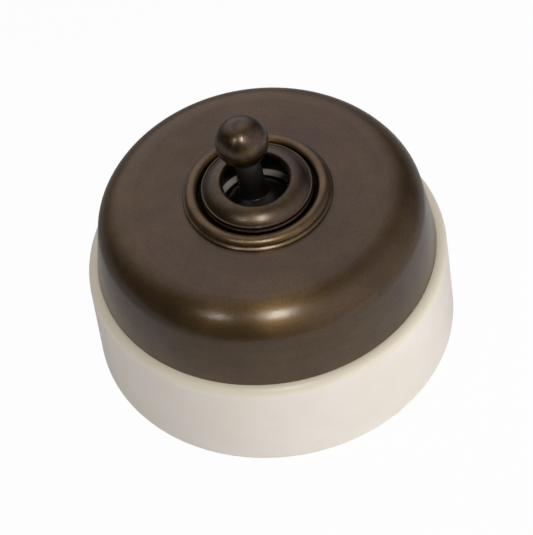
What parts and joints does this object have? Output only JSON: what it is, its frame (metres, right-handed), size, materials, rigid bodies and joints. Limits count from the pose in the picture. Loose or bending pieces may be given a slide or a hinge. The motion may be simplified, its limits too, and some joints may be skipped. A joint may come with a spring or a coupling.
{
  "type": "round porcelain surface light switch",
  "caption": "Round surface-mounted dolly light switch: glazed porcelain base, domed bronze cover with a ringed opening, and a ball-ended lever that tips up or down.",
  "frame": {"origin": "centre of the flat back of the porcelain base, on the plane of the wall", "axes": "+Z out of the wall along the axis of the round base, +Y up the wall (the dolly rests tipped this way), +X to the right seen from the front, along the dolly's pin"},
  "size_m": [0.072, 0.072, 0.0554],
  "materials": {
    "porcelain": "satin glazed",
    "bronze": "antique bronze lacquered",
    "brass": "plain",
    "steel": "zinc plated",
    "black_moulding": "gloss",
    "fibre": "vulcanised fibre",
    "silver": "contact silver"
  },
  "bodies": {
    "housing": {"porcelain_base": "porcelain", "cover": "bronze", "cover_washer": "fibre", "trim_ring": "bronze", "collar_ring": "bronze", "threaded_bush": "brass", "bush_liner": "black_moulding", "dolly_pin": "steel", "rocker_pin": "steel", "rocker_bracket": "brass", "common_terminal": "brass", "earth_terminal": "brass", "terminal_screws": "brass", "earth_screw": "brass", "bridge": "steel", "bridge_screws": "brass", "switch_block": "black_moulding", "block_screws": "brass", "lower_contact": "brass", "upper_contact": "brass"},
    "dolly": {"dolly_lever": "black_moulding", "dolly_knob": "bronze", "knob_stud": "steel", "toggle_spring": "steel"},
    "rocker_body": {"rocker": "brass", "rocker_contacts": "silver"}
  },
  "joints": [
    {"name": "dolly_tip", "type": "hinge", "parent": "housing", "child": "dolly", "pos_m": [0, 0, 0.03], "axis": [1, 0, 0], "range_deg": [0, 24], "deforming": ["toggle_spring"]},
    {"name": "rocker_tilt", "type": "hinge", "parent": "housing", "child": "rocker_body", "pos_m": [0, 0, 0.01246], "axis": [1, 0, 0], "range_deg": [-30, 0]}
  ],
  "couplings": [
    {"joint": "rocker_tilt", "follows": "dolly_tip", "ratio": -1.25}
  ]
}
